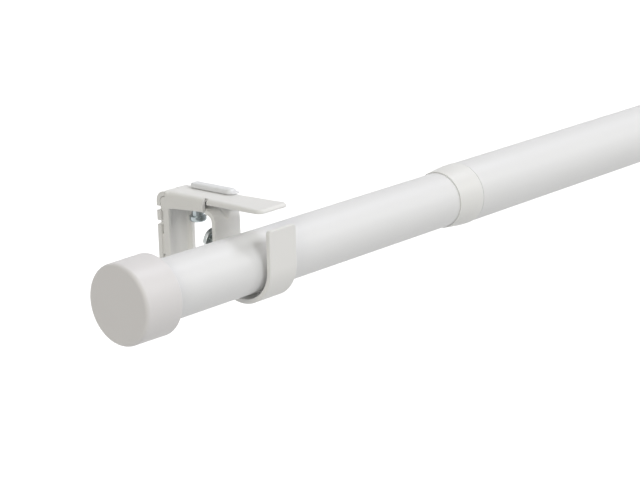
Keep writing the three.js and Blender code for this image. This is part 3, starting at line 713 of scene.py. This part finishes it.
channel = {
    "bend": 2.6, "edge": 0.4, "corner": 3.2, "snug": 0.06, "lipGap": 0.22, "fillet": 0.8,
    "stepEdge": 0.2, "legDepth": 4.5, "legTop": 25.0, "armDepth": 7.4, "tipDepth": 5.9,
    "armLength": 25.1, "stepEnd": 9.0, "slotLength": 9.5, "slotDepth": 2.1, "headHole": 4.6,
    "slotCorners": (0.4, 0.2, 0.2, 0.4), "slotPast": 0.1,
    "lipBend": 0.5, "tightFrom": 21.0, "tightRise": 3.0, "tightFade": 2.5,    # beside the plate's lip
    "dipSide": -0.5, "dipRun": 0.6,      # across the web: where the dip under the lip ends
    "drawIn": 0.96, "innerBend": 0.3,    # these keep the wall from closing up
}
tray = {
    "rootHalf": 7.1, "rootDepth": 2.9, "shoulder": 0.75, "edge": 0.4, "inner": 0.3, "corner": 3.0,
}
relief = {"ahead": 1.8, "behind": 0.25, "under": 3.4, "lip": 0.35}     # where the tray leaves the arm


# Points at the given shares of a line's length.
def resample(line, shares):
    line, length = np.asarray(line, float), lengthAlong(line)
    return np.stack([np.interp(shares * length[-1], length, line[:, k]) for k in (0, 1)], 1)


def quarter(centre, radius, steps=24):
    a = quarterTurn(steps + 1)
    return np.asarray(centre) + radius * np.stack([np.cos(a), np.sin(a)], 1)


# The lines (y, z) that the channel's section follows, each in four stretches: leg, corner, step
# and arm. On its left half the web dips under the wall plate's lip.
def channelLines(side):
    c, plate, stepEdge = channel, sheet["plate"], channel["stepEdge"]
    (_, _, bottom), (_, wall, top), _ = span(side + "_frame")
    plateLow, plateHigh, _ = span(side + "_wall_plate")
    front, legFront = wall - c["armLength"], wall - c["legDepth"]
    back, lipRadius = -plate - c["snug"], wallPlate["lipRadius"] - plate - c["snug"]
    stepEnd, knee = -c["stepEnd"], top - c["armDepth"]
    dip = plateHigh[2] - plate - c["lipGap"]
    centre = np.array([back - c["corner"], top - c["corner"]])
    under = np.array([back - lipRadius, dip - lipRadius])
    inner = np.array([legFront - c["fillet"], knee - c["fillet"]])

    def plain(depth):
        return [
            [[back - depth, bottom], [back - depth, centre[1]]],
            quarter(centre, c["corner"] - depth),
            [[centre[0], top - depth], [stepEnd, top - depth]],
            [[stepEnd, top - depth], [front, top - depth]]]

    def dipped(depth):
        riser, low, high = plateLow[1] - c["snug"] - depth, dip - depth, top - depth
        return [
            [[back - depth, bottom], [back - depth, under[1]]],
            quarter(under, lipRadius - depth),
            fillet([[under[0], low], [riser, low], [riser, high], [stepEnd, high]],
                   [0, stepEdge, stepEdge, 0], 8, closed=False),
            [[stepEnd, high], [front, high]]]

    slope = (c["armDepth"] - c["tipDepth"]) / (legFront - front)
    foot = lambda y: knee + (legFront - y) * slope
    return {
        "web": (plain(0), dipped(0)),
        "inside": (plain(sheet["frame"]), dipped(sheet["frame"])),
        "foot": [
            [[legFront, bottom], [legFront, inner[1]]],
            quarter(inner, c["fillet"]),
            [[inner[0], knee], [stepEnd, foot(stepEnd)]],
            [[stepEnd, foot(stepEnd)], [front, foot(front)]]],
    }


# The plate over the rod: the arm's section opened out into a shallow tray, in rows that crowd
# together where it turns. Where a point lies d inside the plate's outline, the top drops by
# r - sqrt(r^2 - (r - d)^2) and the underside rises by the same rule with a smaller radius. The
# sides stand down by their depth, which shrinks towards the tip to the sheet's thickness.
def trayRows(share, a, g, turn, front, tip, top, tipHalf):
    thick, corner, edge, rootHalf = sheet["frame"], tray["corner"], tray["edge"], tray["rootHalf"]
    reach = front - tip
    d = spaced(np.r_[
        0.04, np.linspace(0.5, reach - corner, 26),
        reach - corner * (1 - np.sin(quarterTurn(17))),
        reach - thick * tray["shoulder"] * crowded(9), reach - edge * crowded(5)], 0.006)[:, None]
    f = reach - d
    depth = thick + (tray["rootDepth"] - thick) * f / (reach + thick)
    shoulder = depth * tray["shoulder"]
    straight = rootHalf + (tipHalf - rootHalf) * np.clip((d + thick) / (reach - corner + thick), 0, 1)
    nook = np.clip(corner - f, 0, corner)
    w = straight - rimLoss(f, corner)
    rolled = (depth - thick) / 2
    softInner, softRim = np.minimum(tray["inner"], rolled), np.minimum(edge, rolled)

    def fall(x, radius):
        inset = corner - np.hypot(np.clip(np.abs(x) - (straight - corner), 0, None), nook)
        return rimLoss(inset, radius)

    sideTop, sideFoot = top - shoulder, top - depth + edge
    innerTop, innerFoot = top - thick - softInner, top - depth + softRim
    topX = np.concatenate([(w - shoulder) * share, w - shoulder + shoulder * np.sin(a)], 1)
    topZ = top - fall(topX, shoulder)
    rimX = w - edge * (1 - np.cos(turn))
    rimZ = top - depth + fall(rimX, edge)
    innerX = np.concatenate([
        w - thick + softRim * (1 - np.cos(turn[::-1])), np.repeat(w - thick, len(g), 1),
        w - thick - softInner * (1 - np.sin(a[::-1])), (w - thick - softInner) * share[::-1]], 1)
    innerZ = np.concatenate([
        top - depth + softRim * (1 - np.sin(turn[::-1])), innerTop + (innerFoot - innerTop) * g[::-1],
        top - thick - softInner * (1 - np.cos(a[::-1])), np.full((len(d), len(share)), top - thick)], 1)
    innerZ = innerZ + fall(innerX, edge)
    n, m = len(share), len(a) + len(g) + len(turn)
    rightX = np.concatenate([topX[:, n:], np.repeat(w, len(g), 1), rimX, innerX[:, :m]], 1)
    rightZ = np.concatenate([topZ[:, n:], sideTop + (sideFoot - sideTop) * g, rimZ, innerZ[:, :m]], 1)
    x = np.concatenate([topX[:, :n], rightX, innerX[:, m:], -rightX[:, ::-1]], 1)
    z = np.concatenate([topZ[:, :n], rightZ, innerZ[:, m:], rightZ[:, ::-1]], 1)
    return np.stack([x, np.broadcast_to(front - d, x.shape), z], -1)


# The frame is one skin: a U section carried up the leg, round the corner and out along the arm,
# and then opened out as the plate over the rod. Across the section a point is a weighted sum of
# three lines: the web's, one that lies a bend's size in from it, and the flange foot's. Round a
# bend the weights are cos a and 1 - cos a while x moves out by size * sin a. Beside the wall
# plate's lip the outer bend is a tight one.
def makeFrame(side):
    node = side + "_frame"
    low, high, middle = span(node)
    c, thick, half, edge = channel, sheet["frame"], sheet["channelHalf"], channel["edge"]
    centre, bottom, top, front = (middle[0], 0, 0), low[2], high[2], high[1] - c["armLength"]
    lines = channelLines(side)
    soft = edge * crowded(7)
    shares = [
        np.unique(np.r_[soft / (c["legTop"] - bottom), np.linspace(0.03, 0.999, 22)]),
        np.linspace(0, 1, 17)[1:],
        np.linspace(0, 1, 27)[1:],
        np.unique(np.r_[np.linspace(0.04, 0.96, 18), 1 - soft / (c["armLength"] - c["stepEnd"])])]

    def trace(stretches):
        return np.concatenate([resample(line, s) for line, s in zip(stretches, shares)])

    web, inside = (np.stack([trace(line) for line in lines[k]]) for k in ("web", "inside"))
    foot = trace(lines["foot"])
    wall = (inside - web) / thick
    leg = np.arange(len(foot)) < len(shares[0])
    cutAll = np.where(leg, rimLoss(foot[:, 1] - bottom, edge), 0) * c["drawIn"]
    cutFlange = np.where(leg, 0, rimLoss(foot[:, 0] - front, edge)) * c["drawIn"]
    q = (cutAll + cutFlange)[:, None]

    flatHalf = half - c["bend"]
    webX = np.unique(np.r_[
        np.linspace(-flatHalf, -1, 7), np.linspace(-1, 0.6, 9), np.linspace(0.6, flatHalf, 7)])
    plain = ease((webX - c["dipSide"]) / c["dipRun"])      # 0 under the lip, 1 on the plain half

    def mix(first, second, weight):
        weight = weight[None, :, None]
        return first[:, None] * (1 - weight) + second[:, None] * weight

    def webBlock(line, sign):
        line = line + sign * wall * cutAll[None, :, None]
        wide = np.broadcast_to(webX, (len(foot), len(webX)))[..., None]
        return np.concatenate([wide, mix(line[1], line[0], plain)], -1)

    a, turn = quarterTurn(9)[1:], quarterTurn(6)
    g = np.array([0.25, 0.5, 0.75])
    lipFront = span(side + "_wall_plate")[0][1]
    tight = ease((web[1, :, 1] - c["tightFrom"]) / c["tightRise"])
    tight = tight * ease(1 - (lipFront - web[1, :, 0]) / c["tightFade"])

    def flange(sign):
        k = 1 if sign < 0 else 0                           # 1 is the half under the lip
        outer, inner = web[k] + wall[k] * cutAll[:, None], inside[k] - wall[k] * cutAll[:, None]
        bendOut = (c["bend"] + (c["lipBend"] - c["bend"]) * tight * k)[:, None]
        bendIn = np.maximum(bendOut, thick + c["innerBend"])
        outerBend, innerBend = web[k] + wall[k] * bendOut, web[k] + wall[k] * bendIn
        up = unit(innerBend - foot)
        end, start = foot + up * q, foot + up * edge
        back, turned, inX = a[::-1], turn[::-1], half - thick + q
        innerX = half - bendIn + (bendIn - thick + q) * np.sin(back)
        x, yz = zip(
            (half - bendOut + (bendOut - q) * np.sin(a), mix(outer, outerBend, 1 - np.cos(a))),
            (np.repeat(half - q, len(g), 1), mix(outerBend, start, g)),
            (half - q - (edge - q) * (1 - np.cos(turn)), mix(start, end, np.sin(turn))),
            (inX + (edge - q) * (1 - np.cos(turned)), mix(start, end, np.sin(turned))),
            (np.repeat(inX, len(g), 1), mix(innerBend, start, g[::-1])),
            (innerX, mix(inner, innerBend, 1 - np.cos(back))))
        x = np.concatenate(x, 1)[..., None] * sign
        return np.concatenate([x, np.concatenate(yz, 1)], -1)

    formed = [webBlock(web, 1), flange(1), webBlock(inside, -1)[:, ::-1], flange(-1)[:, ::-1]]
    flat = trayRows(webX / flatHalf, a, g, turn, front, low[1], top, (high[0] - low[0]) / 2)
    points = np.concatenate([np.concatenate(formed, 1), flat])
    points = np.roll(points, len(a) + len(g) + len(turn), 1) + centre
    made = loopedMesh(side + "Frame.channel", points, paired=True)

    r, past, below = relief, clear["past"], -clear["far"]
    legBack, neck, slotFoot = -sheet["plate"] - c["snug"], half - thick - r["under"], sheet["slotFoot"]
    slot = rectangle(legBack - thick - c["slotPast"], slotFoot, legBack + past,
                     slotFoot + c["slotLength"], c["slotCorners"], 4)
    cuts = []
    for sign in (-1, 1):
        reach = sorted((sign * (half - c["slotDepth"]), sign * (half + past)))
        cuts.append(slab(slot, [[reach[0], 0], [reach[1], 0]], "x", centre))
        notch = [[half + past, past], [half + past, below], [neck, below], [neck, -thick - clear["hair"]],
                 [half - thick, -r["lip"]], [half - thick, past]]
        notch = np.array(notch) * [sign, 1] + [0, top]
        cuts.append(slab(notch, [[front - r["ahead"], 0], [front + r["behind"], 0]], "y", centre))
    rims = flaredLevels(legBack - thick, legBack, sheet["holeRim"])
    cuts.extend(slab(screwHole(k, c["headHole"], 64), rims, "y", centre) for k in range(2))
    settle(carve(made, (), cuts), node, coatedSheet)


hook = {
    "clearance": 0.4, "frontRise": 16.7, "corner": 1.6, "rise": 20.0, "bend": 3.0, "half": 8.0,
    "legHalf": 7.6, "narrowLead": 2.0, "narrowRun": 10.0, "tongueHalf": 5.5, "tongueCorner": 0.4,
    "endRound": 1.0, "travelIn": 1.0, "travelOut": 7.0, "slotHalf": 2.3, "screwFromWall": 16.8,
    "gussetHalf": 2.2, "gussetDrop": 4.8, "gussetSoft": 0.1,
    "tapRadius": 4.2, "tapLength": 2.2, "tapHole": 2.8, "tapBevel": 0.3, "tapEdges": (0.1, 0.1, 0.5, 0.35),
    "screwRise": 4.6, "slack": 0.02,
}


# The strap's path is a J round the rod: down the front, half a circle under the rod, up behind
# it and back into the arm. The gusset is a dart pressed into the upper bend. At an angle q round
# the bend and x across it, the strap sinks to a V along a 45 degree chord:
# sink = radius - (chord + slope * |x|) / cos(q - 45 degrees), where that is above zero.
def makeHook(side):
    node = side + "_hook"
    high, (x0, _, _) = span(node)[1:]
    h, thick = hook, sheet["strap"]
    rodRadius, (_, axisY, axisZ) = barrel("thick_tube")[2:]
    inner = rodRadius + h["clearance"]
    middle, bend = inner + thick / 2, h["bend"] + thick / 2
    tongueZ, end = h["rise"] - thick / 2, high[1] - axisY
    path = fillet([[-middle, h["frontRise"]], [-middle, -middle], [middle, -middle], [middle, tongueZ],
                   [end, tongueZ]], [0, middle, middle, bend, 0], 36, closed=False)
    total = lengthAlong(path)[-1]
    roundEnd = h["frontRise"] + math.pi * middle
    bendStart = roundEnd + tongueZ - h["bend"] - thick / 2
    bendEnd = bendStart + math.pi / 2 * bend

    def halfWidth(s):
        narrow = ease((s - roundEnd + h["narrowLead"]) / h["narrowRun"])
        wide = h["half"] + (h["legHalf"] - h["half"]) * narrow
        return wide - rimLoss(s, h["corner"]) - rimLoss(total - s, h["endRound"])

    outer = h["bend"] + thick
    chord = (2 * outer - h["gussetDrop"]) * math.sqrt(0.5)

    def gusset(x, s):
        q = np.clip((s - bendStart) / (bendEnd - bendStart), 0, 1) * np.pi / 2
        off = np.hypot(x, h["gussetSoft"]) * (outer - chord) / h["gussetHalf"]
        sink = outer - (chord + off) / np.cos(q - np.pi / 4)
        soft = h["gussetSoft"] * np.clip((np.pi / 4 - np.abs(q - np.pi / 4)) / 0.1, 0, 1)
        return -(sink + np.sqrt(sink ** 2 + soft ** 2)) / 2

    rows = np.r_[
        h["corner"] * crowded(10), np.linspace(2, h["frontRise"], 6),
        np.linspace(roundEnd, bendStart, 8), np.linspace(bendStart, bendEnd, 41),
        np.linspace(bendEnd, total, 16), total - h["endRound"] * crowded(8)]
    columns = np.unique(np.r_[np.linspace(-1, 1, 25), np.linspace(-0.45, 0.45, 45)])
    strap = bentStrip(side + "Hook.strap", path + [axisY, axisZ], halfWidth, thick, sheet["edge"], rows,
                      x0, columns, press=gusset)
    centre, hole, bevel = (x0, axisY, axisZ + h["screwRise"]), h["tapHole"], h["tapBevel"]
    boss, wide = middle + thick / 2 + h["tapLength"], h["tapRadius"]
    tap = fillet([[middle, hole], [middle, wide], [boss, wide], [boss, hole]], h["tapEdges"], 5)
    before, beyond = inner - clear["past"], boss + 2
    bore = np.array([[before, 0], [before, hole + bevel], [inner - h["slack"], hole + bevel],
                     [inner + bevel, hole], [beyond, hole + 0.001], [beyond, 0]])
    cuts = [spin(bore, centre, "y", 64, closed=False)]
    slotHalf, screwY = h["slotHalf"], -h["screwFromWall"]
    slot = rectangle(-slotHalf, screwY - h["travelIn"] - slotHalf,
                     slotHalf, screwY + h["travelOut"] + slotHalf, slotHalf * 0.999, 12)
    levels = flaredLevels(axisZ + h["rise"] - thick, axisZ + h["rise"], sheet["holeRim"])
    cuts.append(slab(slot, levels, "z", (x0, 0, 0)))
    shoulder = span(side + "_frame")[1][1] - channel["armLength"] - h["travelIn"] - sheet["clearance"]
    for sign in (-1, 1):
        near, far = sorted((sign * h["tongueHalf"], sign * (h["half"] + clear["past"])))
        notch = rectangle(near, shoulder, far, high[1] + clear["past"], h["tongueCorner"], 5)
        cuts.append(slab(notch, levels, "z", (x0, 0, 0)))
    settle(carve(strap, [spin(tap, centre, "y", 64)], cuts), node, coatedSheet)


clampScrew = {
    "radius": 2.0, "head": 3.65, "headHeight": 2.5, "shoulder": 2.6, "shoulderLength": 3.2,
    "pitch": 0.7, "threadDepth": 0.4, "threadEnds": (0.2, 0.4), "spacing": 0.09, "steps": 64,
    "recessDepth": 1.25, "recessHalf": 2.1, "recessWidth": 0.95, "recessCorner": 0.15,
    "recessOutsets": (0.1, 0.05, -0.2),                   # in the open, at the crown and at its bottom
    "edges": (0, 1.25, 0.2, 0.1, 0.2, 0.1, 0.35, 0),      # from the crown of the head to the tip
}
tubeScrew = {
    "radius": 2.5, "head": 6.0, "headThickness": 2.1, "pitch": 0.8, "threadDepth": 0.45,
    "threadEnds": (0.5, 0.5), "spacing": 0.1, "steps": 80, "slotWidth": 1.3, "slotDepth": 1.0,
    "slotCorner": 0.1, "edges": (0, 0.5, 0.15, 0.35, 0.45, 0),      # from the tip to the head's face
}
nut = {"corner": 0.8, "edge": 0.35, "hole": 2.3, "rim": 0.3}


# A spun screw. Its thread is a ripple of the shank's radius: a wave of place / pitch - angle /
# full turn, which runs out at both ends of the thread.
def makeScrew(name, shape, corners, centre, axis, start, end):
    start, end = start + shape["threadEnds"][0], end - shape["threadEnds"][1]

    def thread(place, size, angle):
        wave = 0.5 - 0.5 * np.cos(2 * np.pi * (place / shape["pitch"]) - angle)
        run = np.clip(np.minimum(place - start, end - place) / shape["pitch"], 0, 1)
        return -shape["threadDepth"] * wave ** 1.5 * run * (np.abs(size - shape["radius"]) < 0.02)

    profile = refine(fillet(corners, shape["edges"], 7, closed=False), shape["spacing"])
    return spin(profile, centre, axis, shape["steps"], name, closed=False, ripple=thread)


def makeClampScrew(side):
    node = side + "_clamp_screw"
    low, high, middle = span(node)
    shape, foot, tip, centre = clampScrew, low[2], high[2], (*middle[:2], 0)
    headTop = foot + shape["headHeight"]
    neck = headTop + shape["shoulderLength"]
    screw = makeScrew(
        side + "ClampScrew.body", shape,
        [[foot, 0], [foot, shape["head"]], [headTop, shape["head"]], [headTop, shape["shoulder"]],
         [neck, shape["shoulder"]], [neck, shape["radius"]], [tip, shape["radius"]], [tip, 0]],
        centre, "z", neck, tip)
    w, k = shape["recessHalf"], shape["recessWidth"] / 2
    arm = np.array([[-w, -k], [-k, -k], [-k, -w]])               # a quarter of the cross
    turns = [arm, arm[:, ::-1] * [-1, 1], -arm, arm[:, ::-1] * [1, -1]]
    cross = fillet(np.concatenate(turns), shape["recessCorner"], 3)
    depths = (foot - clear["past"], foot, foot + shape["recessDepth"])
    recess = slab(cross, list(zip(depths, shape["recessOutsets"])), "z", centre)
    # The clamp screw takes the darker copy of the zinc, whose colour is painted shade and painted dark
    # reflection.
    look = makeZinc(side + "ClampZincPaintedShade", (*middle[:2], foot), "z", clampZincPaintedShade)
    settle(carve(screw, (), [recess]), node, look)


def makeTubeScrew(side):
    node = side + "_tube_screw"
    (_, tip, _), (_, end, _), (x0, _, z0) = span(node)
    shape, centre, headFoot = tubeScrew, (x0, 0, z0), end - tubeScrew["headThickness"]
    screw = makeScrew(
        side + "TubeScrew.body", shape,
        [[tip, 0], [tip, shape["radius"]], [headFoot, shape["radius"]], [headFoot, shape["head"]],
         [end, shape["head"]], [end, 0]], centre, "y", tip, headFoot)
    half, far = shape["slotWidth"] / 2, clear["far"]
    slot = rectangle(-far, -half, far, half, shape["slotCorner"], 2)
    cutter = slab(slot, [[end - shape["slotDepth"], -0.05], [end + 1, 0.05]], "y", centre)
    settle(carve(screw, (), [cutter]), node, makeZinc(side + "TubeZinc", (x0, end, z0), "y"))


def makeClampNut(side):
    node = side + "_clamp_nut"
    low, high, middle = span(node)
    half, centre = (high[0] - low[0]) / 2, (*middle[:2], 0)
    block = slab(rectangle(-half, -half, half, half, nut["corner"], 5),
                 softLevels(low[2], high[2], nut["edge"]), "z", centre, side + "ClampNut.body")
    hole = slab(circle(nut["hole"]), flaredLevels(low[2], high[2], nut["rim"]), "z", centre)
    look = makeZinc(side + "NutZinc", (*middle[:2], low[2]), "z")
    settle(carve(block, (), [hole]), node, look)


clip = {
    "barWidth": 5.0, "barHeight": 2.0, "crown": 1.2, "endRadius": 1.7, "barInset": 1.9, "skirt": 0.7,
    "rimAhead": 1.2, "rimEdge": 0.3, "wall": 1.2, "lipReach": 1.4, "edge": 0.28, "length": 23.6,
    "rimCorner": 0.3, "shelfCorner": 0.4, "shelfLap": 1.0, "wallLap": 0.6, "ledgeInset": 0.2,
    "wallCorners": (0.3, 0.3, 0.8, 0.8), "ledgeCorners": (0.2, 0.2, 0.4, 0.4),
    "hidden": 0.05, "hiddenWall": 0.02,      # rims that lie inside another part of the clip
}


def makeEdgeClip(side):
    node = side + "_edge_clip"
    high, frameHigh, x0 = span(node)[1], span(side + "_frame")[1], span(side + "_wall_plate")[2][0]
    c, clearance = channel, sheet["clearance"]
    outer, top, foot = high[0] - x0, high[2], high[2] - clip["barHeight"]
    back = high[1] - clip["skirt"]
    front, right = back - clip["length"], outer - clip["barInset"]
    left = right - clip["barWidth"]
    frontArm, legFront = frameHigh[1] - c["armLength"], frameHigh[1] - c["legDepth"]
    slope = (c["armDepth"] - c["tipDepth"]) / (legFront - frontArm)
    flangeFoot = lambda y: frameHigh[2] - c["armDepth"] + (legFront - y) * slope - clearance
    y0, y1 = frontArm + clearance, back + clip["skirt"]
    end, skirt = clip["endRadius"], foot + clip["skirt"]
    centre, low = (x0, 0, 0), softLevels(foot, skirt, clip["hidden"], clip["rimEdge"], 4)
    crowned = softLevels(foot, top, clip["hidden"], clip["crown"], 9)
    bar = slab(rectangle(left, front, right, back, end, 12), crowned, "z", centre, side + "EdgeClip.body")
    rim = rectangle(left + clip["skirt"], front - clip["rimAhead"], right + clip["skirt"], y1,
                    [end, end, clip["rimCorner"], end], 12)
    shelf = rectangle(right - clip["shelfLap"], y0, outer, y1, clip["shelfCorner"], 5)
    under0, under1 = flangeFoot(y0) - clip["wall"], flangeFoot(y1) - clip["wall"]
    inside, near = foot + clip["skirt"] * clip["wallLap"], sheet["channelHalf"] - clip["lipReach"]
    wall = fillet([[y1, inside], [y0, inside], [y0, under0], [y1, under1]], clip["wallCorners"], 5)
    ledge = fillet([[y1, flangeFoot(y1)], [y0, flangeFoot(y0)], [y0, under0], [y1, under1]],
                   clip["ledgeCorners"], 4)
    wallLevels = softLevels(outer - clip["wall"], outer, clip["hiddenWall"], clip["edge"])
    ledgeLevels = softLevels(near, outer - clip["ledgeInset"], clip["edge"])
    joins = [slab(rim, low, "z", centre), slab(shelf, low, "z", centre),
             slab(wall, wallLevels, "x", centre), slab(ledge, ledgeLevels, "x", centre)]
    settle(carve(bar, joins), node, clipPlastic)


for side in ("left", "right"):
    makeWallPlate(side)
    makeFrame(side)
    makeHook(side)
    makeClampScrew(side)
    makeClampNut(side)
    makeTubeScrew(side)
    makeEdgeClip(side)
    print(side, "bracket made")


studio = {
    "world": 0.30, "worldColor": (1.0, 0.99, 0.955), "floorDrop": 0.6, "floorSize": 14.0,
    "floorGlow": 0.7, "floorColor": (0.62, 0.62, 0.61), "floorRoughness": 0.9,
}
# Broad suns, the same along the whole rod: where each stands, its strength, colour and softness.
lamps = {
    "front": ((0.12, -0.80, 0.58), 0.80, (0.975, 0.985, 1.0), 0.5),
    "right": ((0.65, -0.60, 0.45), 0.40, (1.0, 0.99, 0.98), 0.25),
    "high": ((0.60, -0.10, 0.79), 0.69, (0.915, 0.915, 1.0), 0.3),
    "left": ((-0.80, -0.30, 0.52), 0.70, (1.0, 0.975, 0.86), 0.5),
    "back": ((0.20, 0.80, 0.55), 0.25, (0.93, 0.94, 1.0), 0.65),
}
white = (1, 1, 1, 1)


# 1 for a ray that shows a surface to the camera, straight, mirrored or through glass.
def showingRay(tree):
    ray = addNode(tree, "LightPath").outputs
    passed = maths(tree, "MAXIMUM", ray["Is Glossy Ray"], ray["Is Transmission Ray"])
    return maths(tree, "MAXIMUM", ray["Is Camera Ray"], passed)


def makeFloor():
    size, z = studio["floorSize"], -studio["floorDrop"]
    mesh = bpy.data.meshes.new("floor")
    corners = [(-size, -size, z), (size, -size, z), (size, size, z), (-size, size, z)]
    mesh.from_pydata(corners, [], [(0, 1, 2, 3)])
    floor = addObject("floor", mesh)
    material, tree, shader = newMaterial("paleFloor")
    glow = maths(tree, "MULTIPLY", showingRay(tree), studio["floorGlow"])
    setUp(tree, shader, Base_Color=(*studio["floorColor"], 1), Roughness=studio["floorRoughness"],
          Emission_Color=white, Emission_Strength=glow)
    mesh.materials.append(material)


def makeLight():
    world = bpy.data.worlds.new("studio")
    bpy.context.scene.world = world
    world.use_nodes = True
    tree = world.node_tree
    tree.nodes.clear()
    color = (*studio["worldColor"], 1)
    lit = addNode(tree, "Background", Color=color, Strength=studio["world"])
    shown = addNode(tree, "Background", Color=white)
    mix = addNode(tree, "MixShader")
    for socket, source in zip(mix.inputs, (showingRay(tree), lit.outputs[0], shown.outputs[0])):
        feed(tree, socket, source)
    addNode(tree, "OutputWorld", Surface=mix.outputs[0])
    for name, (toward, strength, color, softness) in lamps.items():
        lamp = bpy.data.lights.new(name, "SUN")
        lamp.energy, lamp.color, lamp.angle = strength, color, softness
        holder = addObject(name, lamp)
        toward = Vector(toward).normalized()
        holder.location = toward * 2
        holder.rotation_euler = toward.to_track_quat("Z", "Y").to_euler()


makeFloor()
makeLight()
bpy.context.scene.view_settings.view_transform = "Standard"
print("floor and light made")
